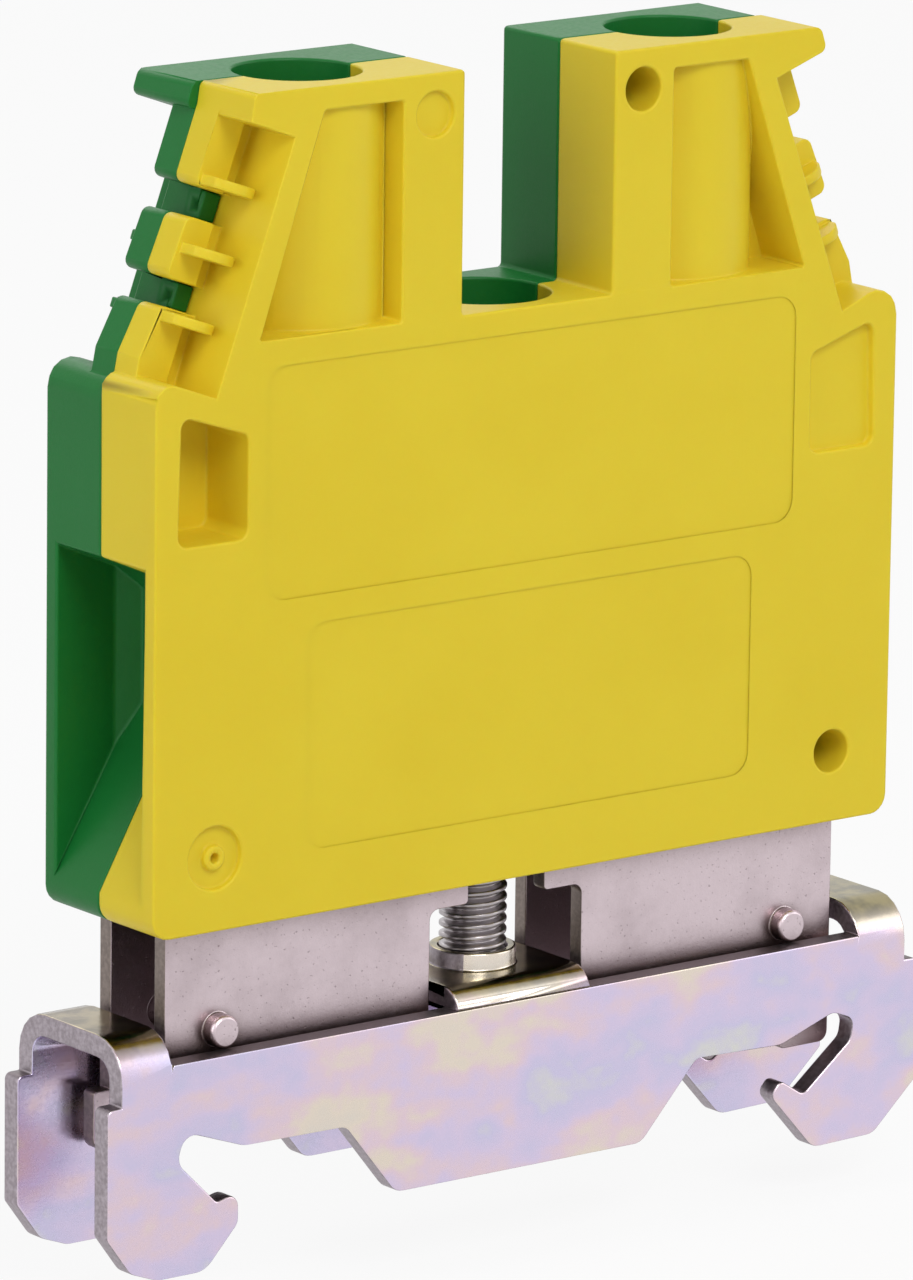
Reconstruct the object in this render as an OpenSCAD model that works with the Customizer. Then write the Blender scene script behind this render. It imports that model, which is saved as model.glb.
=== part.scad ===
// Screw-clamp earth terminal block that clips over a 35 mm top-hat rail.
// Frame: X runs along the block from wire entry to wire entry, Y runs along the rail,
// Z is up, and the origin is the middle of the rail's top face.

/* [Housing] */
// Room the block takes along the rail
pitch = 8; // [7:0.1:12]
// Length over the two wire entries
housing_l = 40.5; // [39:0.5:52]
// Height of the moulding
housing_h = 36.1; // [35:0.1:50]
// Height of the moulding's lower edge above the rail
housing_lift = 10.7; // [9.5:0.1:16]
// Height of the shoulders beside the towers
shoulder_h = 23.25; // [22.5:0.05:24]
// Height of the floor of the notch between the towers
notch_floor = 25.4; // [23:0.1:27]
// Width of the notch between the towers
notch_w = 8.2; // [6.5:0.1:9]
// Half length of a tower's top, at the plain end
top_half = 15.2; // [14.6:0.1:16]
// Thickness of the funnel's side wall
side_wall = 0.8; // [0.6:0.05:1]
// Depth of the shallow frames marked in the outer face
mark_depth = 0.06; // [0.04:0.01:0.2]
// Length of the pockets in the shoulders
side_pocket_l = 3.65; // [3:0.05:3.9]
// Height of the pockets in the shoulders
side_pocket_h = 5.65; // [4.5:0.05:5.9]

/* [Marker channels] */
// Distance of the channel wall's top end from the middle
channel_x = 13.1; // [12.6:0.1:14]
// Height of the channel wall's top end below the tower's top
channel_drop = 2.05; // [1.8:0.05:3]
// Distance of the channel wall's lower end from the middle
channel_foot_x = 17.1; // [16.5:0.1:18]
// Half thickness of the row of teeth
tooth_half = 1.6; // [1.4:0.1:2.2]
// Half thickness of the web that the teeth stand on
web_half = 0.9; // [0.6:0.1:1.3]
// Reach of the teeth from the channel wall
tooth_reach = 2.5; // [2:0.1:3]
// Spacing of the fins that grip a marker
fin_pitch = 3; // [2.5:0.1:3.5]
// Radius of those fins
fin_r = 1.25; // [1:0.05:1.4]
// Thickness of those fins
fin_t = 0.45; // [0.3:0.05:0.6]

/* [Screw towers] */
// Distance of each clamp screw from the middle
tower_x = 10.1; // [9.8:0.1:11]
// Radius of each screwdriver bore over a clamp screw
driver_r = 2.8; // [2.7:0.05:3]
// Thickness of the sleeve round that bore
sleeve_wall = 0.95; // [0.7:0.05:1.1]
// Radius of the screwdriver bore over the rail screw
rail_driver_r = 3.05; // [3:0.05:3.2]
// Extra radius of the chamber that a screw's head turns in
chamber_step = 0.25; // [0.2:0.05:0.35]
// Depth of the windows beside the sleeves
window_depth = 3; // [2:0.1:3.2]
// Length of each window's lower edge
window_low_l = 7.55; // [7:0.05:7.8]
// Length of each window's upper edge
window_top_l = 4.15; // [3.8:0.05:4.6]

/* [Clamps] */
// Radius of the clamp screw's thread
clamp_thread_r = 2; // [1.75:0.05:2.2]
// Radius of the clamp screw's head
clamp_head_r = 2.5; // [2.3:0.05:2.5]
// Height of the clamp screw's head
clamp_head_h = 2.6; // [2:0.1:3]
// Travel of each cage
cage_travel = 4.2; // [3:0.1:4.4]
// Length of each cage along the wire
cage_l = 5.6; // [4.5:0.1:5.8]
// Thickness of a cage's side strips
cage_t = 0.8; // [0.6:0.05:1]
// Thickness of a cage's threaded top
cage_nut_t = 2.6; // [2:0.1:2.8]
// Height of the wire room under the current bar
wire_room = 5.1; // [4.5:0.1:5.4]

/* [Metal] */
// Height of the current bar's underside above the moulding's lower edge
bar_z = 14; // [13:0.1:15]
// Thickness of the current bar
bar_t = 1.5; // [1:0.1:1.8]
// Width of the current bar under the clamps
bar_w = 3.8; // [3:0.1:4]
// Half length of the current bar
bar_half = 14.9; // [14:0.1:15.4]
// Sheet thickness of the earth bracket
bracket_t = 0.8; // [0.6:0.05:1]
// Width over the earth bracket's legs
bracket_w = 4.8; // [4.4:0.1:5]
// Half length of the earth bracket
bracket_half = 18.45; // [17.5:0.05:18.9]
// Width of the opening between the legs round the rail screw
leg_gap = 8.4; // [7.8:0.1:10]

/* [Foot] */
// Sheet thickness of the foot
foot_t = 1; // [0.8:0.05:1.1]
// Width over the foot's walls
foot_w = 7.7; // [7.4:0.1:7.8]
// Half length of the foot over its hooks
foot_half = 22.45; // [22:0.05:24]
// Height of the walls' upper edge above the rail
foot_edge_z = 5.1; // [4.6:0.1:5.6]
// Height of the web that carries the tapped collar
web_z = 6; // [5.7:0.1:6.4]
// Half length of that web
web_half_l = 3.65; // [3:0.05:3.7]
// Height of the arch over each hook
arch_z = 6.45; // [6:0.05:7]
// Downward travel of the foot before its arches near the catches
foot_travel = 2; // [1:0.1:2.4]
// Depth of the hooks below the rail's top face
hook_depth = 4.38; // [4:0.02:5]
// Depth of the lips that grip under the rail
lip_depth = 1.08; // [1.02:0.02:1.5]
// Distance of the left hook's lip from the middle
left_lip_x = 15.5; // [15.3:0.1:16]
// Distance of the right hook's lip from the middle
right_lip_x = 14.05; // [13.9:0.05:14.6]
// Depth of the keel between the hooks
keel_depth = 2.55; // [2:0.05:3]
// Half length of the keel's lower edge
keel_half = 6.8; // [6:0.1:7.4]

/* [Rail screw] */
// Radius of the rail screw's thread
rail_thread_r = 1.5; // [1.25:0.05:1.7]
// Thread pitch of the rail screw
rail_thread_pitch = 0.5; // [0.4:0.05:0.7]
// Length of the rail screw under its head
rail_screw_l = 25; // [22:0.5:26]
// Radius of the rail screw's head
rail_head_r = 2.75; // [2.5:0.05:2.8]
// Height of the rail screw's head
rail_head_h = 2.2; // [1.8:0.1:3]
// Thickness of the washer under the head
washer_t = 0.6; // [0.4:0.1:1]

/* [Fits] */
// Gap between a screw's thread and the thread it runs in
thread_gap = 0.05; // [0.02:0.01:0.1]
// Gap between a metal piece and its pocket in the moulding
pocket_gap = 0.15; // [0.1:0.05:0.2]
// Gap round a peg in its hole
peg_gap = 0.03; // [0.01:0.01:0.08]
// Radius of the holes that take the other half's pegs
peg_hole_r = 0.97; // [0.8:0.01:1.1]

/* [Hidden] */
$fn = 64;

eps = 0.01;
half_l = housing_l / 2;
half_d = pitch / 2;

// channel wall: its ends, and its lean from the vertical
wall_top_z = housing_h - channel_drop;
lean = atan((channel_foot_x - channel_x) / (wall_top_z - shoulder_h));
web_from = 0.95;
lip_out = 0.7;
notch_in = 0.9;
web_back = 2.4;
web_cross = 0.3;
web_gap = 0.05;
wall_sink = 0.3;
foot_u = 13;
fin_first = 2.8;
fin_out = 1.2;
fin_y = [1.4, 1.9];
fin_half = fin_r - 0.15;

// round mark over the upper peg
peg_mark_r = 1;
peg_mark_depth = 0.3;

// frames marked in the outer face: half length, lower and upper edge
upper_frame = [14.45, shoulder_h - 9.15, shoulder_h + 1.05];
lower_frame = [12.2, 2.9, 12.9];

// gate mark over the lower peg: recess, boss in it and hole in that
gate_r = 1.4;
gate_boss_r = 0.55;
gate_hole_r = 0.22;

// screw towers and clamps, heights from the moulding's lower edge
bar_top = bar_z + bar_t;
cage_floor = bar_z - wire_room;
cage_roof = bar_top + 0.9;
cage_top = cage_roof + cage_nut_t;
cage_bottom = cage_floor - 1;
cage_half_w = bar_w / 2 + 0.2 + cage_t;
tip_z = bar_top + 0.05;
head_z = cage_top + cage_travel + 0.3;
pocket_top = head_z + 0.5;
chamber_top = head_z + clamp_head_h + 0.5;
pocket_half_w = cage_half_w + 0.2;
sleeve_r = driver_r + sleeve_wall;

// wire entry: mouth, throat and tunnel
mouth_half = half_d - side_wall;
funnel_l = 3.05;
throat_x = half_l - funnel_l;
tunnel_x = throat_x - 1;
tunnel_half = 2.35;
tunnel_top = bar_z - 0.2;

// earth bracket and rail screw
leg_out = bracket_w / 2;
leg_in = leg_out - bracket_t;
post_half = 5.6;
post_slot = 4.2;
leg_top = 2;
leg_foot_l = 2.85;
rail_clear_r = rail_thread_r + 0.2;
rail_head_z = bar_top + washer_t;
rail_chamber_top = rail_head_z + rail_head_h + 0.5;
catch_x = bracket_half + 0.85;
catch_z = arch_z - foot_t - foot_travel - 0.75;
nub_x = 15.7;
nub_r = 0.75;
nub_z = foot_edge_z + nub_r + 0.02;

// foot
foot_out = foot_w / 2;
foot_in = foot_out - foot_t;
collar_r = rail_thread_r + 0.42;
collar_top = web_z + 0.8;
arch_near = bracket_half + 0.55;
arch_far = foot_half - 0.75;
tab_drop = 1.5;
wall_under_z = 0.85;
throat_rise = 1.78;
keel_end = 9.75;
arch_r = 1.9;
web_r = 1.2;

// pegs that join the two halves
upper_peg = [5.65, housing_h - 1.8];
lower_peg = [17, 3.26];
peg_l = 1.4;

// ---------- outlines ----------

// A corner of a polygon drawn as an arc of radius r, in steps of equal angle
function arc_corner(a, b, c, r, n = 5) =
    let(
        ab = (a - b) / norm(a - b),
        cb = (c - b) / norm(c - b),
        half = acos(ab * cb) / 2,
        centre = b + (ab + cb) / norm(ab + cb) * r / sin(half),
        start = b + ab * r / tan(half) - centre,
        side = sign(cross(-ab, cb)),
        sweep = side * (180 - 2 * half)
    )
    [for (i = [0:n])
        centre + [
            start.x * cos(sweep * i / n) - start.y * sin(sweep * i / n),
            start.x * sin(sweep * i / n) + start.y * cos(sweep * i / n)
        ]
    ];

// Outline from [x, y, radius] points; a radius of 0 keeps the corner sharp
function rounded(pts) =
    let(n = len(pts))
    [for (i = [0:n - 1])
        let(
            p = pts[i],
            a = pts[(i + n - 1) % n],
            c = pts[(i + 1) % n]
        )
        each p[2] > 0 ? arc_corner([a.x, a.y], [p.x, p.y], [c.x, c.y], p[2]) : [[p.x, p.y]]
    ];

// Plate with an outline in X and Z, from one Y to another
module plate(y0, y1) {
    translate([0, y1, 0])
        rotate([90, 0, 0])
            linear_extrude(height = y1 - y0)
                children();
}

// Bar with a section in Y and Z, from one X to another
module bar(x0, x1) {
    translate([x0, 0, 0])
        rotate([90, 0, 90])
            linear_extrude(height = x1 - x0)
                children();
}

module box(x, y, z) {
    translate([x[0], y[0], z[0]])
        cube([x[1] - x[0], y[1] - y[0], z[1] - z[0]]);
}

module post(r, z0, z1, x = 0) {
    translate([x, 0, z0])
        cylinder(r = r, h = z1 - z0);
}

module drill(at, r, y0, y1) {
    translate([at.x, y1, at.y])
        rotate([90, 0, 0])
            cylinder(r = r, h = y1 - y0);
}

// ---------- housing ----------

// Point u along the channel wall from its top end and v out from it
function channel_point(u, v) = [
    channel_x + u * sin(lean) + v * cos(lean),
    wall_top_z - u * cos(lean) + v * sin(lean)
];

function channel_outline(uv) = [for (p = uv) channel_point(p[0], p[1])];

// Each tooth: its two ends along the channel, and its reach at each end
tooth_rows = [
    [-1.6, 3.13, tooth_reach, tooth_reach],
    [4.45, 7.2, tooth_reach - 0.05, tooth_reach + 0.1],
    [8.4, 10.8, tooth_reach - 0.1, tooth_reach + 0.25]
];

module tooth(row, from) {
    polygon(channel_outline(rounded([
        [row[0], from, 0],
        [row[1], from, 0],
        [row[1], row[3], 0.4],
        [row[0], row[2], 0.4]
    ])));
}

// The lowest tooth runs on down to the shoulder
module low_tooth(row, from) {
    polygon(channel_outline(rounded([
        [row[0], from, 0],
        [foot_u, from, 0],
        [foot_u, row[2], 0],
        [row[1], row[3], 0.4],
        [row[0], row[2], 0.4]
    ])));
}

module above_shoulder() {
    intersection() {
        children();
        translate([0, shoulder_h - 1])
            square([half_l, housing_h - shoulder_h + 1]);
    }
}

module teeth(from) {
    above_shoulder() {
        for (i = [0, 1])
            tooth(tooth_rows[i], from);
        low_tooth(tooth_rows[2], from);
    }
}

// Web that fills the spaces between the teeth, from v0 out and clear of them by gap
module space_web(v0, gap) {
    for (i = [0, 1]) {
        u0 = tooth_rows[i][1] + gap;
        u1 = tooth_rows[i + 1][0] - gap;
        polygon(channel_outline([[u0, v0], [u1, v0], [u1, notch_in], [u0, notch_in]]));
    }
}

// Fins beside the teeth; the end with the space web has no fin by its top tooth
module fins(first, y) {
    for (i = [first:2]) {
        at = channel_point(fin_first + i * fin_pitch, fin_out);
        translate([at.x, 0, at.y])
            rotate([0, -lean, 0])
                translate([0, -y, -fin_t / 2])
                    intersection() {
                        cylinder(r = fin_r, h = fin_t);
                        translate([-fin_half, -fin_r, 0])
                            cube([2 * fin_half, fin_r + 1, fin_t]);
                    }
    }
}

module housing_outline() {
    polygon(rounded([
        [-half_l, 0, 0.9],
        [half_l, 0, 0.9],
        [half_l, shoulder_h + 1.35, 1.2],
        [channel_foot_x, shoulder_h, 0],
        [channel_x, wall_top_z, 0],
        [top_half + lip_out, wall_top_z + 1, 0.35],
        [top_half + lip_out / 2, housing_h, 0.4],
        [notch_w / 2, housing_h, 0.2],
        [notch_w / 2, notch_floor, 0.2],
        [-notch_w / 2, notch_floor, 0.2],
        [-notch_w / 2, housing_h, 0.2],
        [-top_half, housing_h, 0.3],
        [-top_half - 0.2, wall_top_z + 0.85, 0],
        [-channel_x, wall_top_z, 0],
        [-channel_foot_x, shoulder_h, 0],
        [-half_l, shoulder_h + 1.2, 0.8]
    ]));
}

module window_outline() {
    inner = tower_x - 2.75;
    top = housing_h - 1.05;
    low = notch_floor + 0.05;
    polygon(rounded([
        [inner, top, 0.15],
        [inner, low, 0.15],
        [inner + window_low_l, low, 0.15],
        [inner + window_top_l, top, 0.15]
    ]));
}

module side_pocket_outline() {
    low = shoulder_h - 6.25;
    far = half_l - 1.2;
    near = far - side_pocket_l;
    polygon(rounded([
        [near, low, 0.5],
        [far, low, 0.5],
        [far - 0.15, low + side_pocket_h, 0.4],
        [near, low + side_pocket_h - 1.15, 0.4]
    ]));
}

module panel_outline(x0, x1, z0, z1) {
    polygon(rounded([[x0, z0, 1], [x1, z0, 1], [x1, z1, 1], [x0, z1, 1]]));
}

// Sleeve windows, pockets and shallow marks in the outer face
module face_cuts() {
    face = -half_d;
    for (side = [0, 1])
        mirror([side, 0, 0])
            difference() {
                plate(face - 1, face + window_depth)
                    window_outline();
                post(sleeve_r, 0, housing_h, tower_x);
            }
    plate(face - 1, face + 0.4)
        side_pocket_outline();
    mirror([1, 0, 0])
        plate(face - 1, face + window_depth)
            side_pocket_outline();
    for (frame = [upper_frame, lower_frame])
        plate(face - 1, face + mark_depth)
            panel_outline(-frame[0], frame[0], frame[1], frame[2]);
    drill([-upper_peg.x, upper_peg.y], peg_mark_r, face - 1, face + peg_mark_depth);
    difference() {
        drill([-lower_peg.x, lower_peg.y], gate_r, face - 1, face + 0.3);
        drill([-lower_peg.x, lower_peg.y], gate_boss_r, face - 2, face + 1);
    }
    drill([-lower_peg.x, lower_peg.y], gate_hole_r, face - 1, face + 0.5);
}

// Funnel at the +X end: ramp below, sloped roof above, sides that draw in
module wire_entry() {
    rise = 5.4;
    slope = rise / funnel_l;
    ramp_z = 1.4;
    intersection() {
        plate(-mouth_half, mouth_half)
            polygon([
                [half_l + 1, ramp_z - slope],
                [throat_x, ramp_z + rise],
                [tunnel_x, cage_floor - 0.2],
                [tunnel_x, tunnel_top],
                [throat_x, tunnel_top + 1],
                [half_l + 1, tunnel_top + 2.75]
            ]);
        linear_extrude(height = housing_h)
            polygon([
                [half_l + 1, -mouth_half],
                [half_l + 1, mouth_half],
                [throat_x, mouth_half],
                [tunnel_x, tunnel_half + 0.15],
                [tunnel_x, -tunnel_half - 0.15],
                [throat_x, -mouth_half]
            ]);
    }
    box([tower_x, tunnel_x + eps], [-tunnel_half, tunnel_half], [cage_floor - 0.2, tunnel_top]);
}

// Rooms inside for the metal parts, the same on both sides of the parting plane
module rooms() {
    g = pocket_gap;
    leg = leg_out + 0.1;
    for (side = [0, 1])
        mirror([side, 0, 0]) {
            wire_entry();
            box([tower_x - cage_l / 2 - 0.3, tower_x + cage_l / 2 + 0.3],
                [-pocket_half_w, pocket_half_w], [cage_bottom - 0.4, pocket_top]);
            post(driver_r + chamber_step, pocket_top - eps, chamber_top, tower_x);
            post(driver_r, chamber_top - eps, housing_h + 1, tower_x);
        }
    box([-bracket_half - g, bracket_half + g], [-leg, leg], [-1, leg_top + g]);
    box([-post_half - g, post_half + g], [-leg, leg], [-1, bar_top + 0.1]);
    box([-bar_half - g, bar_half + g], [-bar_w / 2 - g, bar_w / 2 + g], [bar_z - 0.1, bar_top + 0.1]);
    post(rail_driver_r + chamber_step, bar_top, rail_chamber_top);
    post(rail_driver_r, rail_chamber_top - eps, housing_h + 1);
}

// One half of the housing; the other is the same moulding turned round
module housing_half() {
    difference() {
        union() {
            plate(-half_d, 0)
                housing_outline();
            for (side = [0, 1])
                mirror([side, 0, 0]) {
                    plate(-tooth_half, 0)
                        teeth(web_from);
                    plate(-web_half, 0)
                        teeth(-wall_sink);
                    fins(1 - side, fin_y[side]);
                }
            plate(-web_back, 0)
                space_web(-wall_sink, -wall_sink);
            plate(-web_half, web_cross)
                space_web(web_gap, web_gap);
            for (at = [upper_peg, lower_peg])
                drill([-at.x, at.y], peg_hole_r - peg_gap, -0.5, peg_l);
        }
        difference() {
            rooms();
            box([-half_l, half_l], [0, half_d], [0, housing_h]);
        }
        face_cuts();
        for (at = [upper_peg, lower_peg])
            drill(at, peg_hole_r, -half_d - 1, 1);
    }
}

module front_housing() {
    color([0.90, 0.80, 0.25])
        translate([0, 0, housing_lift])
            housing_half();
}

module rear_housing() {
    color([0.13, 0.47, 0.24])
        translate([0, 0, housing_lift])
            rotate([0, 0, 180])
                housing_half();
}

// ---------- metal inside ----------

// One side plate of the earth bracket: a post under the current bar and two wide legs
module bracket_side(left_tip, right_tip) {
    leg_z = 1.7 - housing_lift;
    gap = leg_gap / 2;
    slot = post_slot / 2;
    shelf = -1.3;
    difference() {
        union() {
            translate([-post_half, leg_z])
                square([2 * post_half, bar_z - leg_z]);
            translate([-bracket_half, leg_z])
                square([2 * bracket_half, leg_top - leg_z]);
            if (right_tip)
                leg_tip();
            if (left_tip)
                mirror([1, 0])
                    leg_tip();
        }
        polygon(rounded([
            [-gap, leg_z - 4, 0],
            [gap, leg_z - 4, 0],
            [gap, shelf, 0.45],
            [slot, shelf, 0.2],
            [slot, bar_z - 1.8, 0.8],
            [-slot, bar_z - 1.8, 0.8],
            [-slot, shelf, 0.2],
            [-gap, shelf, 0.45]
        ]));
    }
}

// End of a leg that stands on the rail
module leg_tip() {
    polygon(rounded([
        [bracket_half - leg_foot_l, -housing_lift, 0.4],
        [bracket_half, -housing_lift, 0.5],
        [bracket_half, 3 - housing_lift, 0],
        [bracket_half - leg_foot_l, 3 - housing_lift, 0]
    ]));
}

// Catch under the arch, which keeps the foot on when its screw is out
module leg_catch() {
    polygon(rounded([
        [bracket_half - 1, -housing_lift, 0],
        [catch_x, -housing_lift, 0.6],
        [catch_x, catch_z - housing_lift, 0.2],
        [bracket_half - 1, catch_z - housing_lift, 0]
    ]));
}

module bracket_channel() {
    difference() {
        polygon(rounded([
            [-leg_out, -housing_lift - 1, 0],
            [leg_out, -housing_lift - 1, 0],
            [leg_out, bar_z, 1],
            [-leg_out, bar_z, 1]
        ]));
        polygon(rounded([
            [-leg_in, -housing_lift - 2, 0],
            [leg_in, -housing_lift - 2, 0],
            [leg_in, bar_z - bracket_t, 0.2],
            [-leg_in, bar_z - bracket_t, 0.2]
        ]));
    }
}

module earth_bracket() {
    reach = catch_x + 1;
    color([0.80, 0.77, 0.78])
        translate([0, 0, housing_lift])
            difference() {
                union() {
                    intersection() {
                        bar(-reach, reach)
                            bracket_channel();
                        union() {
                            plate(-leg_out, 0)
                                bracket_side(false, true);
                            plate(0, leg_out)
                                bracket_side(true, true);
                        }
                    }
                    for (side = [0, 1])
                        mirror([side, 0, 0])
                            plate(leg_in, leg_out)
                                leg_catch();
                    for (x = [-nub_x, nub_x]) {
                        drill([x, nub_z - housing_lift], nub_r, -leg_out - 0.75, -leg_out + 0.2);
                        drill([x, nub_z - housing_lift], nub_r, leg_out - 0.2, leg_out + 0.75);
                    }
                }
                for (x = [-nub_x, nub_x])
                    drill([x, nub_z - housing_lift], nub_r, -leg_in - 0.4, leg_in + 0.4);
                post(rail_clear_r, bar_z - 2, bar_z + 1);
            }
}

module current_bar() {
    arm = bar_w / 2;
    hub = bracket_w / 2;
    color([0.80, 0.55, 0.35])
        translate([0, 0, housing_lift + bar_z])
            difference() {
                linear_extrude(height = bar_t)
                    polygon(rounded([
                        [-bar_half, -arm, 0.4],
                        [-post_half, -arm, 0],
                        [-post_half, -hub, 0],
                        [post_half, -hub, 0],
                        [post_half, -arm, 0],
                        [bar_half, -arm, 0.4],
                        [bar_half, arm, 0.4],
                        [post_half, arm, 0],
                        [post_half, hub, 0],
                        [-post_half, hub, 0],
                        [-post_half, arm, 0],
                        [-bar_half, arm, 0.4]
                    ]));
                post(rail_clear_r, -1, bar_t + 1);
            }
}

// ---------- screws and cages ----------

// Half section of a thread: a shank with a sharp ridge every turn
module thread(r, pitch_z, z0, z1) {
    root = r - 0.6 * pitch_z;
    turns = floor((z1 - z0) / pitch_z);
    rotate_extrude()
        polygon([
            [0, z0],
            [root, z0],
            for (i = [0:turns - 1])
                each [
                    [r, z0 + (i + 0.4) * pitch_z],
                    [r, z0 + (i + 0.6) * pitch_z],
                    [root, z0 + (i + 1) * pitch_z]
                ],
            [root, z1],
            [0, z1]
        ]);
}

// Cheese head with a screwdriver slot
module slotted_head(r, h, z) {
    bevel = 0.25;
    difference() {
        translate([0, 0, z])
            rotate_extrude()
                polygon([[0, 0], [r, 0], [r, h - bevel], [r - bevel, h], [0, h]]);
        box([-r - 1, r + 1], [-0.4, 0.4], [z + h / 2, z + h + 1]);
    }
}

module rail_screw() {
    threaded = 15;
    tip = rail_head_z - rail_screw_l;
    color([0.55, 0.55, 0.56])
        translate([0, 0, housing_lift]) {
            thread(rail_thread_r, rail_thread_pitch, tip, tip + threaded);
            post(rail_thread_r - 0.1, tip + threaded - eps, rail_head_z + eps);
            slotted_head(rail_head_r, rail_head_h, rail_head_z);
        }
}

module rail_washer() {
    color([0.62, 0.62, 0.64])
        translate([0, 0, housing_lift + bar_top])
            difference() {
                cylinder(r = rail_head_r - 0.1, h = washer_t);
                translate([0, 0, -1])
                    cylinder(r = rail_thread_r + 0.1, h = washer_t + 2);
            }
}

module clamp_screw(x) {
    turn = 0.7;
    color([0.70, 0.70, 0.72])
        translate([x, 0, housing_lift]) {
            thread(clamp_thread_r, turn, tip_z, head_z);
            slotted_head(clamp_head_r, clamp_head_h, head_z);
        }
}

module left_clamp_screw() {
    clamp_screw(-tower_x);
}

module right_clamp_screw() {
    clamp_screw(tower_x);
}

// Cage round the current bar: tapped roof, side strips and a floor that lifts the wire
module cage(x) {
    inner = cage_half_w - cage_t;
    color([0.78, 0.76, 0.70])
        translate([x, 0, housing_lift])
            difference() {
                bar(-cage_l / 2, cage_l / 2)
                    difference() {
                        polygon(rounded([
                            [-cage_half_w, cage_bottom, 0.7],
                            [cage_half_w, cage_bottom, 0.7],
                            [cage_half_w, cage_top, 0.5],
                            [-cage_half_w, cage_top, 0.5]
                        ]));
                        polygon(rounded([
                            [-inner, cage_floor, 0.3],
                            [inner, cage_floor, 0.3],
                            [inner, cage_roof, 0.3],
                            [-inner, cage_roof, 0.3]
                        ]));
                    }
                post(clamp_thread_r + thread_gap, cage_roof - 1, cage_top + 1);
            }
}

module left_cage() {
    cage(-tower_x);
}

module right_cage() {
    cage(tower_x);
}

// ---------- foot ----------

// Section of the foot where the sheet goes over the top
module foot_section(top, r) {
    low = foot_edge_z - 2;
    difference() {
        polygon(rounded([
            [-foot_out, low, 0],
            [foot_out, low, 0],
            [foot_out, top, r],
            [-foot_out, top, r]
        ]));
        polygon(rounded([
            [-foot_in, low - 1, 0],
            [foot_in, low - 1, 0],
            [foot_in, top - foot_t, max(r - foot_t, 0.15)],
            [-foot_in, top - foot_t, max(r - foot_t, 0.15)]
        ]));
    }
}

// Side wall with a hook at each end and a keel between them
module foot_wall() {
    tab = foot_edge_z - tab_drop;
    under = wall_under_z;
    lip = -lip_depth;
    hook = -hook_depth;
    keel = -keel_depth;
    left = -left_lip_x;
    right = right_lip_x;
    polygon(rounded([
        [-foot_half, tab, 0.3],
        [-foot_half, hook + 2.23, 0.3],
        [-foot_half + 1.25, hook + 0.53, 0.8],
        [-foot_half + 2.7, hook, 0.8],
        [left - 1.75, hook, 1.2],
        [left, hook + 1.88, 0.6],
        [left, lip, 0.5],
        [left - 1.15, lip - 0.3, 0.25],
        [left - 3.25, lip + throat_rise, 0.7],
        [left - 2.85, under + 1.15, 0.7],
        [left + 0.3, under + 0.05, 1.5],
        [-keel_end, under, 0.6],
        [-keel_half - 0.2, keel, 0.9],
        [keel_half - 0.15, keel, 0.9],
        [keel_end, under, 0.6],
        [right + 0.55, under - 0.15, 1.5],
        [right + 3.55, under + 0.9, 0.8],
        [right + 4.75, under + 0.45, 0.5],
        [right + 4.6, lip + 1.43, 0.6],
        [right + 1.9, lip - 0.72, 0.4],
        [right + 0.55, lip + 0.15, 0.35],
        [right, lip - 0.52, 0.4],
        [right + 2.5, hook, 0.9],
        [foot_half - 2.4, hook + 0.08, 0.9],
        [foot_half, hook + 2.28, 0.3],
        [foot_half, tab, 0.3],
        [arch_far, tab, 0],
        [arch_far, foot_edge_z, 0],
        [-arch_far, foot_edge_z, 0],
        [-arch_far, tab, 0]
    ]));
}

module foot() {
    color([0.80, 0.76, 0.80])
        difference() {
            union() {
                plate(-foot_out, -foot_in)
                    difference() {
                        foot_wall();
                        arch_trim();
                    }
                plate(foot_in, foot_out)
                    difference() {
                        foot_wall();
                        arch_trim();
                    }
                for (side = [0, 1])
                    mirror([side, 0, 0])
                        bar(arch_near, arch_far)
                            foot_section(arch_z, arch_r);
                bar(-web_half_l, web_half_l)
                    foot_section(web_z, web_r);
                post(collar_r, web_z - 0.5, collar_top);
            }
            post(rail_thread_r + thread_gap, 0, collar_top + 1);
        }
}

// The walls stop lower where the arch begins to bend over
module arch_trim() {
    for (side = [0, 1])
        mirror([side, 0])
            translate([arch_near, arch_z - 1.9])
                square([arch_far - arch_near + 1, 3]);
}

front_housing();
rear_housing();
earth_bracket();
current_bar();
foot();
rail_screw();
rail_washer();
left_clamp_screw();
right_clamp_screw();
left_cage();
right_cage();
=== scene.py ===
"""Looks of a two-coloured earth terminal block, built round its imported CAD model.

Every length is in metres in the CAD frame: X along the block, Y along the rail, Z up,
with the origin in the middle of the rail's top face.
"""

import logging
import math
from dataclasses import dataclass, field
from enum import Enum
from typing import Callable, Sequence, Union

import bmesh
import bpy
from mathutils import Matrix, Vector
from mathutils.bvhtree import BVHTree


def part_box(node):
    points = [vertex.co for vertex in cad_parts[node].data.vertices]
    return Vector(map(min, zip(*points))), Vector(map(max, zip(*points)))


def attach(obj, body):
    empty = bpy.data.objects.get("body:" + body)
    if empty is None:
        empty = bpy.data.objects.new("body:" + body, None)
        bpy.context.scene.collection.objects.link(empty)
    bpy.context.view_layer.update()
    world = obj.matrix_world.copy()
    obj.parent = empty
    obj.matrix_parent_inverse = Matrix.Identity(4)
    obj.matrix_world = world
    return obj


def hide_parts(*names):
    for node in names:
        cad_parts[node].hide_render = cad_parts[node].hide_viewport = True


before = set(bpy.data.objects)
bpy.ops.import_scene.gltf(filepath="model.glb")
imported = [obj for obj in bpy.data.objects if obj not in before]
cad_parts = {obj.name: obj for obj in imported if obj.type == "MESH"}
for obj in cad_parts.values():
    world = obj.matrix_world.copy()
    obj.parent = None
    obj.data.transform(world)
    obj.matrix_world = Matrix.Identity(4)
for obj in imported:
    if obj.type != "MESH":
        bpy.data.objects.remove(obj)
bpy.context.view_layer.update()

LOG = logging.getLogger("terminal_block")
MM = 0.001
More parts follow.
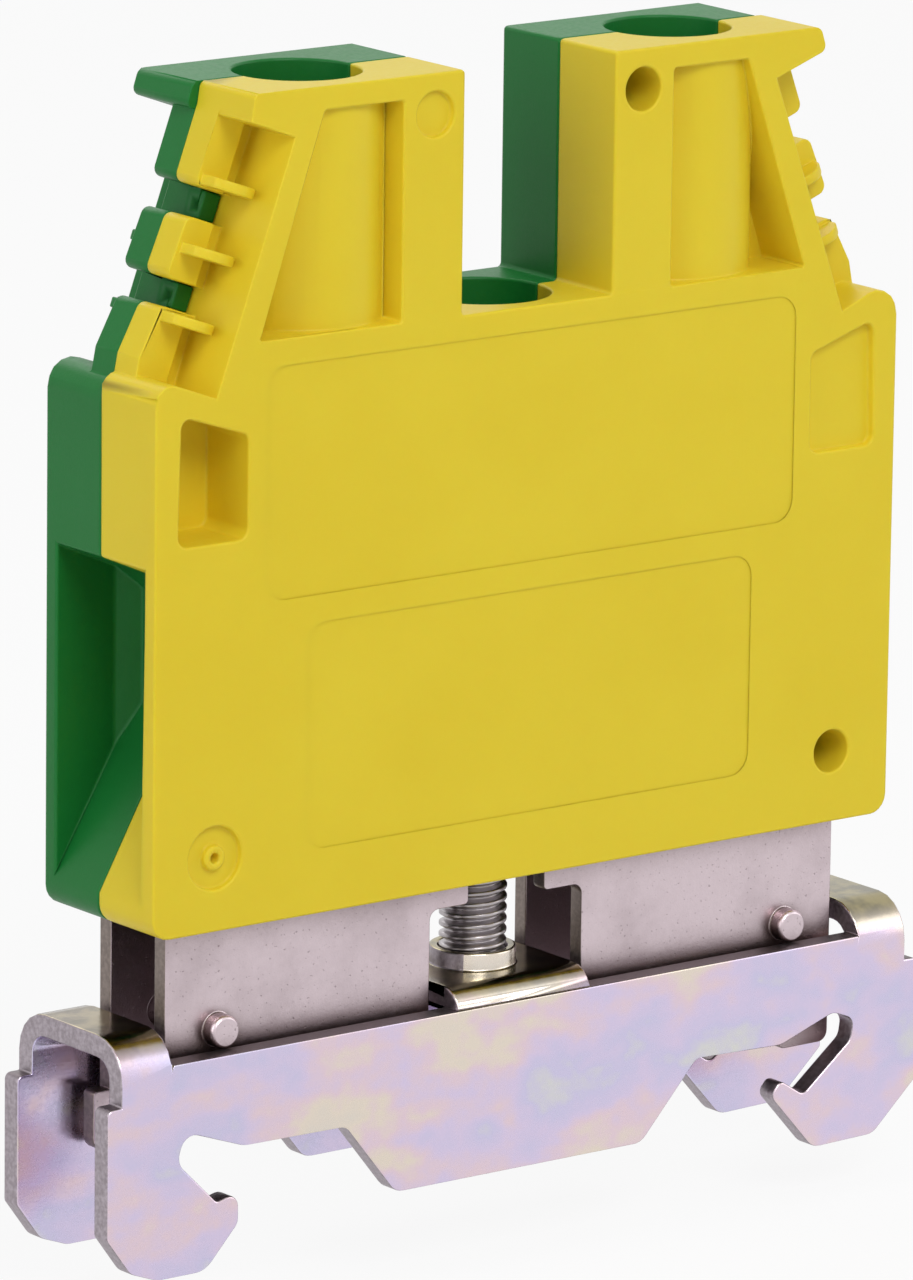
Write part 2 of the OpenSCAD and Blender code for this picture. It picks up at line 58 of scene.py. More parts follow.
SHARP_EDGE = math.radians(30)
FLAT_JOIN = math.radians(0.8)
WELD_MM = 0.002
OUTSIDE_MM = 0.005
MEND_ROUNDS = 6
Colour = tuple[float, float, float]
Number = Union[float, "Wire"]


def mm(*values: float) -> Vector:
    """Return a point given in millimetres as a vector in metres."""
    return Vector(values) * MM


def linear(red: int, green: int, blue: int) -> Colour:
    """Turn a screen colour into scene-linear light.

    Args:
        red: Red from 0 to 255.
        green: Green from 0 to 255.
        blue: Blue from 0 to 255.

    Returns:
        The colour as three linear numbers from 0 to 1.
    """

    def one(value: int) -> float:
        """Return one channel in linear light."""
        share = value / 255
        return share / 12.92 if share <= 0.04045 else ((share + 0.055) / 1.055) ** 2.4

    return one(red), one(green), one(blue)


class Body(Enum):
    """The CAD bodies that pieces ride on."""

    HOUSING = "root"
    FOOT = "foot"
    RAIL_SCREW = "rail_screw"
    LEFT_SCREW = "left_clamp_screw"
    RIGHT_SCREW = "right_clamp_screw"
    LEFT_CAGE = "left_cage"
    RIGHT_CAGE = "right_cage"


# ---------- shader graph ----------


class Wire:
    """An output socket that takes part in Python arithmetic."""

    def __init__(self, graph: "Graph", socket: bpy.types.NodeSocket) -> None:
        """Wrap one socket of a graph."""
        self.graph = graph
        self.socket = socket

    def _math(self, operation: str, *values: Number) -> "Wire":
        """Return a Math node's result on these values."""
        return self.graph.node("ShaderNodeMath", {"operation": operation}, dict(enumerate(values)))

    def __add__(self, other: Number) -> "Wire":
        """Return self + other."""
        return self._math("ADD", self, other)

    __radd__ = __add__

    def __sub__(self, other: Number) -> "Wire":
        """Return self - other."""
        return self._math("SUBTRACT", self, other)

    def __rsub__(self, other: Number) -> "Wire":
        """Return other - self."""
        return self._math("SUBTRACT", other, self)

    def __mul__(self, other: Number) -> "Wire":
        """Return self * other."""
        return self._math("MULTIPLY", self, other)

    __rmul__ = __mul__

    def ramp(self, low: float, high: float) -> "Wire":
        """Return 0 at low, 1 at high and a smooth step between them.

        Args:
            low: The value that gives 0.
            high: The value that gives 1.

        Returns:
            The step.
        """
        return self.graph.node(
            "ShaderNodeMapRange",
            {"interpolation_type": "SMOOTHSTEP"},
            {"Value": self, "From Min": low, "From Max": high},
        )


class Graph:
    """The node tree of one material, or of the world."""

    def __init__(self, name: str, owner: bpy.types.World | None = None) -> None:
        """Start an empty tree, in a new material of that name unless given an owner.

        Args:
            name: The new material's name.
            owner: The world, when the tree is for that.
        """
        self.owner = owner or bpy.data.materials.new(name)
        self.owner.use_nodes = True
        self.tree = self.owner.node_tree
        self.tree.nodes.clear()

    def node(
        self,
        kind: str,
        settings: dict | None = None,
        inputs: dict | None = None,
        output: int | str = 0,
    ) -> Wire:
        """Add one node.

        Args:
            kind: Blender's name for the node type.
            settings: Properties to set first; "stops" fills a colour ramp.
            inputs: Socket names or numbers, each with a value or a wire.
            output: The output socket to return.

        Returns:
            The chosen output as a wire.
        """
        made = self.tree.nodes.new(kind)
        for key, value in (settings or {}).items():
            if key == "stops":
                self._fill(made.color_ramp, value)
            else:
                setattr(made, key, value)
        for key, value in (inputs or {}).items():
            if isinstance(value, Wire):
                self.tree.links.new(value.socket, made.inputs[key])
            else:
                made.inputs[key].default_value = value
        return Wire(self, made.outputs[output])

    @staticmethod
    def _fill(ramp: bpy.types.ColorRamp, stops: Sequence[tuple[float, Colour]]) -> None:
        """Give a colour ramp its stops.

        Args:
            ramp: The ramp.
            stops: Each place from 0 to 1, with its colour.
        """
        while len(ramp.elements) < len(stops):
            ramp.elements.new(0.5)
        for element, (place, colour) in zip(ramp.elements, stops):
            element.position = place
            element.color = (*colour, 1)

    def place(self, output: str = "Object") -> Wire:
        """Return the coordinates in the CAD frame, which go with the piece."""
        return self.node("ShaderNodeTexCoord", output=output)

    def stretched(self, scale: tuple[float, float, float]) -> Wire:
        """Return the coordinates multiplied by a scale on each axis.

        Args:
            scale: The factor on X, Y and Z.

        Returns:
            The scaled coordinates.
        """
        return self.node(
            "ShaderNodeVectorMath", {"operation": "MULTIPLY"}, {0: self.place(), 1: scale}
        )

    def upward(self) -> Wire:
        """Return how far the surface faces up in the CAD frame, from -1 to 1.

        Returns:
            The Z part of the surface normal.
        """
        normal = self.place("Normal")
        split = self.node("ShaderNodeSeparateXYZ", {}, {0: normal})
        return Wire(self, split.socket.node.outputs["Z"])

    def recess(self, reach_mm: float) -> Wire:
        """Return 0 in the open and up to 1 where other surfaces crowd round.

        Args:
            reach_mm: How near a surface must be to count, in millimetres.

        Returns:
            The crowding, from 0 to 1.
        """
        settings = {"samples": 6}
        crowd = self.node("ShaderNodeAmbientOcclusion", settings, {"Distance": reach_mm * MM}, "AO")
        return 1 - crowd

    def noise(
        self,
        size_mm: float,
        detail: float = 2.0,
        rough: float = 0.5,
        stretch: tuple[float, float, float] = (1.0, 1.0, 1.0),
    ) -> Wire:
        """Return fractal noise from 0 to 1.

        Args:
            size_mm: Rough size of one blob, in millimetres.
            detail: Number of finer layers.
            rough: Strength of the finer layers.
            stretch: Extra frequency on each axis.

        Returns:
            The noise.
        """
        scale = tuple(s / (size_mm * MM) for s in stretch)
        return self.node(
            "ShaderNodeTexNoise",
            {},
            {
                "Vector": self.stretched(scale),
                "Scale": 1.0,
                "Detail": detail,
                "Roughness": rough,
            },
        )

    def blend(self, factor: Number, first: Colour | Wire, second: Colour | Wire) -> Wire:
        """Return a mix of two colours.

        Args:
            factor: 0 for the first colour, 1 for the second.
            first: A colour or a wire.
            second: A colour or a wire.

        Returns:
            The mixed colour.
        """
        ends = [c if isinstance(c, Wire) else (*c, 1) for c in (first, second)]
        return self.node(
            "ShaderNodeMix", {"data_type": "RGBA"}, {0: factor, 6: ends[0], 7: ends[1]}, 2
        )

    def bump(self, height: Wire, depth_mm: float, strength: float = 1.0) -> Wire:
        """Return a normal bent by a height map.

        Args:
            height: The height from 0 to 1.
            depth_mm: What a height of 1 stands for, in millimetres.
            strength: Share of the effect.

        Returns:
            The normal.
        """
        return self.node(
            "ShaderNodeBump",
            {},
            {"Strength": strength, "Distance": depth_mm * MM, "Height": height},
        )

    def seen(self) -> Wire:
        """Return 1 for the camera's rays, and those it sends on by mirror or glass.

        Returns:
            A mask of 1 and 0.
        """
        camera = self.node("ShaderNodeLightPath", output="Is Camera Ray")
        outputs = camera.socket.node.outputs
        mirror = Wire(self, outputs["Is Glossy Ray"])
        glass = Wire(self, outputs["Is Transmission Ray"])
        return camera + mirror + glass

    def finish(self, shader: Wire) -> bpy.types.Material | bpy.types.World:
        """Put a shader on the surface and return what it belongs to.

        Args:
            shader: The shader.

        Returns:
            The material or the world.
        """
        kind = "World" if isinstance(self.owner, bpy.types.World) else "Material"
        out = self.tree.nodes.new(f"ShaderNodeOutput{kind}")
        self.tree.links.new(shader.socket, out.inputs["Surface"])
        return self.owner


# ---------- finishes ----------


@dataclass(frozen=True)
class MouldedPlastic:
    """Matt moulded polyamide."""

    name: str
    colour: Colour
    shade: Colour
    roughness: float = 0.42
    glow: float = 0.25

    def make(self) -> bpy.types.Material:
        """Build the material.

        Returns:
            The material.
        """
        g = Graph(self.name)
        clouds = g.noise(9.0, detail=3)
        fleck = g.noise(0.22, detail=2)
        colour = g.blend(clouds.ramp(0.35, 0.75) * 0.35 + fleck * 0.1, self.colour, self.shade)
        grain = g.noise(0.11, detail=3, rough=0.6)
        drawn = g.noise(0.5, detail=2, stretch=(3.2, 1.0, 0.12))
        height = grain * 0.7 + drawn * 0.5
        shader = g.node(
            "ShaderNodeBsdfPrincipled",
            {},
            {
                "Base Color": colour,
                "Roughness": fleck * 0.16 + (self.roughness - 0.08),
                "IOR": 1.5,
                "Specular IOR Level": 0.25,
                "Subsurface Weight": self.glow,
                "Subsurface Radius": (1.0, 0.6, 0.2),
                "Subsurface Scale": 0.5 * MM,
                "Normal": g.bump(height, 0.012, 0.6),
            },
        )
        return g.finish(shader)


@dataclass(frozen=True)
class PlatedSheet:
    """Pressed sheet with a dull nickel plate."""

    name: str
    colour: Colour
    dark: Colour
    # painted shade: the dark brown that crowded recesses are tinted towards
    painted_shade: Colour = linear(84, 64, 54)
    roughness: float = 0.3

    def make(self) -> bpy.types.Material:
        """Build the material.

        Returns:
            The material.
        """
        g = Graph(self.name)
        clouds = g.noise(4.0, detail=4, rough=0.6)
        speck = g.noise(0.3, detail=3, rough=0.65)
        fine = g.noise(0.09, detail=2)
        pits = g.noise(0.16, detail=1).ramp(0.66, 0.74)
        tone_share = clouds.ramp(0.4, 0.8) * 0.35 + speck * 0.2 + pits * 0.6
        plate = g.blend(tone_share, self.colour, self.dark)
        # painted shade: the plate turns dark brown where other surfaces crowd round
        colour = g.blend(g.recess(4.0).ramp(0.15, 0.6) * 0.9, plate, self.painted_shade)
        shader = g.node(
            "ShaderNodeBsdfPrincipled",
            {},
            {
                "Base Color": colour,
                "Metallic": 1.0,
                "Roughness": speck * 0.24 + clouds * 0.1 + (self.roughness - 0.12),
                "Normal": g.bump(speck * 0.6 + fine * 0.4 - pits * 0.5, 0.025, 0.5),
            },
        )
        return g.finish(shader)


@dataclass(frozen=True)
class Passivated:
    """Bright zinc plate with a thin iridescent passivation."""

    name: str
    roughness: float = 0.24

    def make(self) -> bpy.types.Material:
        """Build the material.

        Returns:
            The material.
        """
        g = Graph(self.name)
        film = g.noise(6.5, detail=3, rough=0.55, stretch=(0.8, 1.0, 1.5))
        stain = g.noise(1.6, detail=3, rough=0.6)
        place = film * 0.8 + stain * 0.2
        stops = [
            (0.30, linear(216, 210, 202)),
            (0.40, linear(226, 214, 200)),
            (0.46, linear(224, 202, 212)),
            (0.53, linear(214, 200, 226)),
            (0.60, linear(204, 198, 226)),
            (0.68, linear(214, 214, 208)),
        ]
        film_tint = g.node("ShaderNodeValToRGB", {"stops": stops}, {0: place})
        # painted reflection: faces that look up are tinted dark olive to golden, with the stain
        # noise moving it between the two
        facing_up = g.upward().ramp(0.35, 0.9)
        top_reflection = g.blend(stain.ramp(0.35, 0.65), linear(96, 92, 66), linear(150, 140, 96))
        tint = g.blend(facing_up * 0.85, film_tint, top_reflection)
        scratch = g.noise(0.35, detail=3, stretch=(0.25, 1.0, 2.5))
        speck = g.noise(0.2, detail=2)
        shader = g.node(
            "ShaderNodeBsdfPrincipled",
            {},
            {
                "Base Color": tint,
                "Metallic": 1.0,
                "Roughness": stain * 0.16 + speck * 0.1 - facing_up * 0.08 + (self.roughness - 0.1),
                "Normal": g.bump(scratch * 0.5 + speck * 0.5, 0.012, 0.5),
            },
        )
        return g.finish(shader)


@dataclass(frozen=True)
class ShearedEdge:
    """Granular edge left where sheet was sheared."""

    name: str
    colour: Colour
    dark: Colour
    roughness: float = 0.42

    def make(self) -> bpy.types.Material:
        """Build the material.

        Returns:
            The material.
        """
        g = Graph(self.name)
        grit = g.noise(0.2, detail=3, rough=0.6)
        band = g.noise(0.6, detail=2, stretch=(1.0, 3.0, 1.0))
        # painted reflection: grit noise sets the tone, and up-facing faces are pulled most of the
        # way to the dark colour
        tone_share = (grit.ramp(0.3, 0.75) * 0.4 + 0.45) * (1 - g.upward().ramp(0.5, 0.95) * 0.8)
        shader = g.node(
            "ShaderNodeBsdfPrincipled",
            {},
            {
                "Base Color": g.blend(tone_share, self.dark, self.colour),
                "Metallic": 1.0,
                "Roughness": grit * 0.3 + (self.roughness - 0.15),
                "Normal": g.bump(grit * 0.6 + band * 0.5, 0.02, 0.6),
            },
        )
        return g.finish(shader)


@dataclass(frozen=True)
class MachinedSteel:
    """Plated screw steel with fine turning marks."""

    name: str
    colour: Colour
    dark: Colour
    roughness: float = 0.32

    def make(self) -> bpy.types.Material:
        """Build the material.

        Returns:
            The material.
        """
        g = Graph(self.name)
        stain = g.noise(1.2, detail=3)
        turned = g.noise(0.2, detail=3, stretch=(0.7, 0.7, 5.0))
        shader = g.node(
            "ShaderNodeBsdfPrincipled",
            {},
            {
                "Base Color": g.blend(stain.ramp(0.3, 0.7) * 0.6, self.colour, self.dark),
                "Metallic": 1.0,
                "Roughness": turned * 0.25 + (self.roughness - 0.12),
                "Normal": g.bump(turned, 0.008, 0.5),
            },
        )
        return g.finish(shader)


# ---------- mesh work ----------


def piece_from(name: str, bm: bmesh.types.BMesh) -> bpy.types.Object:
    """Turn a bmesh into a smooth-shaded object in the scene.

    Args:
        name: The piece's name.
        bm: The mesh, which is freed.

    Returns:
        The new object.
    """
    mesh = bpy.data.meshes.new(name)
    bm.to_mesh(mesh)
    bm.free()
    for polygon in mesh.polygons:
        polygon.use_smooth = True
    made = bpy.data.objects.new(name, mesh)
    bpy.context.scene.collection.objects.link(made)
    return made


def cad_copy(node: str) -> bmesh.types.BMesh:
    """Return a clean copy of a CAD node's mesh, with flat faces joined up.

    Args:
        node: The CAD node to copy.

    Returns:
        The copy, as a new mesh.
    """
    bm = bmesh.new()
    bm.from_mesh(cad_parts[node].data)
    bmesh.ops.remove_doubles(bm, verts=bm.verts, dist=WELD_MM * MM)
    bmesh.ops.dissolve_limit(
        bm, angle_limit=FLAT_JOIN, verts=bm.verts, edges=bm.edges
    )
    return bm


@dataclass(frozen=True)
class Rounding:
    """One pass of rounding: its width, the edges it takes and its number of flats."""

    width_mm: float
    keep: Callable[[bmesh.types.BMEdge], bool] = lambda edge: True
    flats: int = 2


def soften(bm: bmesh.types.BMesh, *passes: Rounding) -> None:
    """Round the sharp edges of a mesh, and keep it on or under its old surface.

    Args:
        bm: The mesh.
        passes: The passes of rounding, done in order.
    """
    surface = BVHTree.FromBMesh(bm)
    low, high = (Vector(pick(v.co[i] for v in bm.verts) for i in range(3)) for pick in (min, max))
    for rounding in passes:
        sharp = [
            e
            for e in bm.edges
            if e.is_manifold
            and e.calc_face_angle(0.0) > SHARP_EDGE
            and rounding.keep(e)
        ]
        bmesh.ops.bevel(
            bm,
            geom=sharp,
            offset=rounding.width_mm * MM,
            offset_type="OFFSET",
            segments=rounding.flats,
            profile=0.6,
            affect="EDGES",
            clamp_overlap=False,
        )
        settle(bm, surface, 0.75 * rounding.width_mm)
    widest = max(rounding.width_mm for rounding in passes)
    for _ in range(MEND_ROUNDS):
        folds = folded(bm, surface)
        tight = {e for f in folds for e in f.edges if e.calc_length() < 2.2 * widest * MM}
        if not tight:
            break
        bmesh.ops.collapse(bm, edges=list(tight))
        settle(bm, surface, 0.5 * widest)
        bmesh.ops.dissolve_degenerate(bm, dist=0.0001 * MM, edges=bm.edges)
    for v in bm.verts:
        v.co = Vector(min(max(v.co[i], low[i]), high[i]) for i in range(3))
    bm.normal_update()


def settle(bm: bmesh.types.BMesh, surface: BVHTree, reach_mm: float) -> None:
    """Move stray vertices, and those outside a surface, back onto it.

    Args:
        bm: The mesh.
        surface: The surface.
        reach_mm: How far inside the surface a vertex may be.
    """
    for v in bm.verts:
        near, normal, _, gap = surface.find_nearest(v.co)
        outside = (v.co - near).dot(normal) > OUTSIDE_MM * MM
        if gap > reach_mm * MM or outside:
            v.co = near


def folded(bm: bmesh.types.BMesh, surface: BVHTree) -> list[bmesh.types.BMFace]:
    """Return the faces that point against the surface they lie on.

    Args:
        bm: The mesh.
        surface: The surface that it was made from.

    Returns:
        The folded faces.
    """
    bm.normal_update()
    found = []
    for f in bm.faces:
        normal = surface.find_nearest(f.calc_center_median())[1]
        if f.normal.dot(normal) < -0.1 and f.calc_area() > 1e-4 * MM**2:
            found.append(f)
    return found


def shade(made: bpy.types.Object, *materials: bpy.types.Material) -> None:
    """Give a piece its materials and normals that keep its flat faces flat.

    Args:
        made: The piece.
        materials: Its materials, in slot order.
    """
    for material in materials:
        made.data.materials.append(material)
    even = made.modifiers.new("normals", "WEIGHTED_NORMAL")
    even.keep_sharp = True
    even.weight = 80


# ---------- sub-assemblies ----------


@dataclass
class Housing:
    """The two halves of the moulding."""

    rounding_mm: float = 0.13
    tooth_rounding_mm: float = 0.07
    teeth_from_mm: tuple[float, float] = (13.0, 33.8)
    yellow: MouldedPlastic = MouldedPlastic(
        "yellow polyamide", linear(236, 212, 50), linear(229, 200, 36)
    )
    green: MouldedPlastic = MouldedPlastic(
        "green polyamide", linear(20, 116, 48), linear(14, 98, 36), glow=0.15
    )

    def build(self) -> list[bpy.types.Object]:
        """Build both halves.

        Returns:
            The yellow half and the green half.
        """
        return [
            self._half("yellow_half", "front_housing", self.yellow),
            self._half("green_half", "rear_housing", self.green),
        ]

    def _half(
        self, name: str, node: str, plastic: MouldedPlastic
    ) -> bpy.types.Object:
        """Return one half.

        Args:
            name: The piece's name.
            node: The CAD node that it stands for.
            plastic: Its finish.

        Returns:
            The piece.
        """
        bm = cad_copy(node)
        soften(
            bm,
            Rounding(self.rounding_mm, lambda e: self._rounds(e) and not self._by_teeth(e)),
            Rounding(self.tooth_rounding_mm, lambda e: self._rounds(e) and self._by_teeth(e)),
        )
        made = piece_from(name, bm)
        shade(made, plastic.make())
        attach(made, Body.HOUSING.value)
        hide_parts(node)
        return made


    def _by_teeth(self, edge: bmesh.types.BMEdge) -> bool:
        """Say whether an edge is among the teeth at either end of the towers."""
        x, z = self.teeth_from_mm
        return all(abs(v.co.x) > x * MM and v.co.z > z * MM for v in edge.verts)

    @staticmethod
    def _rounds(edge: bmesh.types.BMEdge) -> bool:
        """Say whether an edge is deep enough to be rounded.

        Args:
            edge: The edge.

        Returns:
            False beside the wall of a shallow step.
        """
        for face in edge.link_faces:
            deep = [v.co.y for v in face.verts]
            if abs(face.normal.y) < 0.5 and max(deep) - min(deep) < 0.1 * MM:
                return False
        return True


@dataclass
class EarthMetal:
    """The bracket that stands on the rail and the current bar on it."""

    rounding_mm: float = 0.07
    nub_rounding_mm: float = 0.5
    sheet_out_mm: float = 2.47

    def build(self) -> list[bpy.types.Object]:
        """Build the bracket and the bar.

        Returns:
            The two pieces.
        """
        nickel = PlatedSheet("nickel plate", linear(216, 200, 206), linear(150, 136, 140)).make()
        edge = ShearedEdge("sheared bracket edge", linear(150, 138, 132), linear(80, 70, 66)).make()
        tinned = PlatedSheet("tinned copper", linear(214, 206, 200), linear(182, 168, 156)).make()
        made = []
        for name, node, slot, face in (
            ("bracket", "earth_bracket", "nickel_plate", nickel),
            ("bar", "current_bar", "tinned_copper", tinned),
        ):
            bm = cad_copy(node)
            sheared = node == "earth_bracket"
            reach = max(v.co.y for v in bm.verts) - 0.01 * MM if sheared else math.inf
            soften(
                bm,
                Rounding(self.nub_rounding_mm, lambda e: self._beyond(e, reach), 4),
                Rounding(self.rounding_mm, lambda e: not self._beyond(e, reach)),
            )
            for f in bm.faces:
                depth = abs(f.calc_center_median().y) / MM
                in_sheet = abs(f.normal.y) < 0.5 and depth < self.sheet_out_mm
                f.material_index = int(sheared and in_sheet)
            piece = piece_from(name, bm)
            shade(piece, face, edge)
            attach(piece, Body.HOUSING.value)
            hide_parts(node)
            made.append(piece)
        return made

    @staticmethod
    def _beyond(edge: bmesh.types.BMEdge, reach: float) -> bool:
        """Say whether an edge is further from the middle in Y than a reach."""
        return all(abs(v.co.y) > reach for v in edge.verts)


@dataclass
class RailFoot:
    """The foot that grips the rail."""

    rounding_mm: float = 0.1
    arch_from_mm: float = 5.15
    arch_y_mm: float = 3.9
    sheet_in_mm: float = 2.7

    def build(self) -> list[bpy.types.Object]:
        """Build the foot.

        Returns:
            The foot, in a list of its own.
        """
        bm = cad_copy("foot")
        soften(bm, Rounding(self.rounding_mm))
        for f in bm.faces:
            f.material_index = int(self._sheared(f))
        made = piece_from("foot_sheet", bm)
        shade(
            made,
            Passivated("passivated zinc").make(),
            ShearedEdge("sheared foot edge", linear(188, 178, 186), linear(92, 82, 84)).make(),
        )
        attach(made, Body.FOOT.value)
        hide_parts("foot")
        return [made]

    def _sheared(self, face: bmesh.types.BMFace) -> bool:
        """Say whether a face is an edge of the sheet.

        Args:
            face: The face.

        Returns:
            True on the cut rim of the sheet.
        """
        _, y, z = face.calc_center_median() / MM
        if abs(face.normal.y) > 0.6:
            return False
        if z > self.arch_from_mm:
            return abs(face.normal.x) > 0.7 and abs(y) < self.arch_y_mm
        return abs(y) > self.sheet_in_mm


@dataclass
class Screw:
    """A slotted screw with a helical thread."""

    node: str
    body: Body
    slot: str
    head_h_mm: float
    thread_l_mm: float
    radius_mm: float
    shank_mm: float
    pitch_mm: float
    root_depth: float = 0.6
    flank_slope: float = 1.5
    root_flat: float = 0.08
    rim_mm: float = 0.2
    slot_half_mm: float = 0.4
    under_slot_mm: float = 0.02
    around: int = 40
    rows_per_turn: int = 10
    rim_steps: int = 24
    core_sides: int = 48
    x_mm: float = field(init=False)
    thread_mm: tuple[float, float] = field(init=False)
    head_mm: tuple[float, float] = field(init=False)
    head_radius_mm: float = field(init=False)

    def __post_init__(self) -> None:
        """Take the place, the heights and the head's radius from the CAD node's box."""
        low, high = (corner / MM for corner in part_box(self.node))
        foot, top = round(low.z, 3), round(high.z, 3)
        self.x_mm = round((low.x + high.x) / 2, 2)
        self.thread_mm = (foot, foot + self.thread_l_mm)
        self.head_mm = (top - self.head_h_mm, top)
        self.head_radius_mm = round(high.x - self.x_mm, 3)

    def build(self, steel: MachinedSteel) -> bpy.types.Object:
        """Return the screw.

        Args:
            steel: Its finish.

        Returns:
            The piece.
        """
        bm = bmesh.new()
        self._shaft(bm)
        self._head(bm)
        bmesh.ops.transform(bm, matrix=Matrix.Translation(mm(self.x_mm, 0, 0)), verts=bm.verts)
        bmesh.ops.recalc_face_normals(bm, faces=bm.faces)
        made = piece_from(self.node + "_piece", bm)
        shade(made, steel.make())
        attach(made, self.body.value)
        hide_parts(self.node)
        return made

    def _profile(self, turn: float, z: float) -> float:
        """Return the thread's radius at a point.

        Args:
            turn: The angle about the axis, in turns.
            z: The height in millimetres.

        Returns:
            The radius in millimetres.
        """
        low, high = self.thread_mm
        if z > high:
            return self.shank_mm
        phase = ((z - low) / self.pitch_mm - turn) % 1.0
        ridge = abs(phase - 0.5) * 2
        crest = min(1.0, max(0.0, (1.0 - ridge) * self.flank_slope - self.root_flat))
        runout = min(1.0, (z - low) / self.pitch_mm, (high - z) / self.pitch_mm)
        root = self.radius_mm - self.root_depth * self.pitch_mm
        return root + (self.radius_mm - root) * crest * max(0.0, runout)

    def _shaft(self, bm: bmesh.types.BMesh) -> None:
        """Add the threaded part and the plain shank.

        Args:
            bm: The mesh to add to.
        """
        low, high = self.thread_mm
        step = self.pitch_mm / self.rows_per_turn
        rows = int(self.thread_l_mm / step + 1e-6) + 1
        heights = [low + i * step for i in range(rows)]
        top = self.head_mm[0]
        if top > high:
            heights += [high + 0.01, top]
        rings = []
        for z in heights:
            ring = []
            for i in range(self.around):
                turn = i / self.around
                radius = self._profile(turn, z)
                angle = 2 * math.pi * turn
                ring.append(bm.verts.new(mm(radius * math.cos(angle), radius * math.sin(angle), z)))
            rings.append(ring)
        for below, above in zip(rings, rings[1:]):
            for i in range(self.around):
                j = (i + 1) % self.around
                bm.faces.new((below[i], below[j], above[j], above[i]))
        bm.faces.new(list(reversed(rings[0])))
        bm.faces.new(rings[-1])

    def _head(self, bm: bmesh.types.BMesh) -> None:
        """Add the cheese head with its slot.

        Args:
            bm: The mesh to add to.
        """
        low, high = self.head_mm
        r, edge, half = self.head_radius_mm, self.rim_mm, self.slot_half_mm
        floor = (low + high) / 2
        steps = self.rim_steps
        for side in (-1, 1):
            start = math.asin(half / r)
            rim = [start + (math.pi - 2 * start) * i / steps for i in range(steps + 1)]
            sections = [(r, low), (r, high - edge), (r - edge, high)]
            loops = []
            for radius, z in sections:
                loop = [
                    bm.verts.new(
                        mm(
                            radius * math.cos(a),
                            side * max(radius * math.sin(a), half),
                            z,
                        )
                    )
                    for a in rim
                ]
                loops.append(loop)
            for below, above in zip(loops, loops[1:]):
                for i in range(steps):
                    bm.faces.new((below[i], below[i + 1], above[i + 1], above[i]))
                bm.faces.new((below[-1], below[0], above[0], above[-1]))
            bm.faces.new(loops[-1])
            bm.faces.new(loops[0])
        bmesh.ops.create_cone(
            bm,
            cap_ends=True,
            segments=self.core_sides,
            radius1=(r - self.under_slot_mm) * MM,
            radius2=(r - self.under_slot_mm) * MM,
            depth=(floor - low) * MM,
            matrix=Matrix.Translation(mm(0, 0, (floor + low) / 2)),
        )


@dataclass
class Fastenings:
    """Screws, washer and cages."""

    rounding_mm: float = 0.1

    def build(self) -> list[bpy.types.Object]:
        """Build every piece.

        Returns:
            The three screws, the washer and the two cages.
        """
        dull = MachinedSteel("dull screw steel", linear(186, 180, 182), linear(140, 134, 138))
        bright = MachinedSteel("clamp steel", linear(196, 192, 186), linear(158, 152, 144))
        made = [
            Screw(
                "rail_screw",
                Body.RAIL_SCREW,
                "screw_steel",
                head_h_mm=2.2,
                thread_l_mm=15.0,
                radius_mm=1.5,
                shank_mm=1.4,
                pitch_mm=0.5,
            ).build(dull)
        ]
        for body in (Body.LEFT_SCREW, Body.RIGHT_SCREW):
            screw = Screw(
                body.value,
                body,
                "clamp_steel",
                head_h_mm=2.6,
                thread_l_mm=7.95,
                radius_mm=2.0,
                shank_mm=1.8,
                pitch_mm=0.7,
            )
            made.append(screw.build(bright))
        plate = bright.make()
        for name, node, body, slot in (
            ("washer", "rail_washer", Body.HOUSING, "screw_steel"),
            ("left_cage_piece", "left_cage", Body.LEFT_CAGE, "clamp_steel"),
            ("right_cage_piece", "right_cage", Body.RIGHT_CAGE, "clamp_steel"),
        ):
            bm = cad_copy(node)
            soften(bm, Rounding(self.rounding_mm))
            piece = piece_from(name, bm)
            shade(piece, plate)
            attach(piece, body.value)
            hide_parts(node)
            made.append(piece)
        return made


# ---------- studio ----------


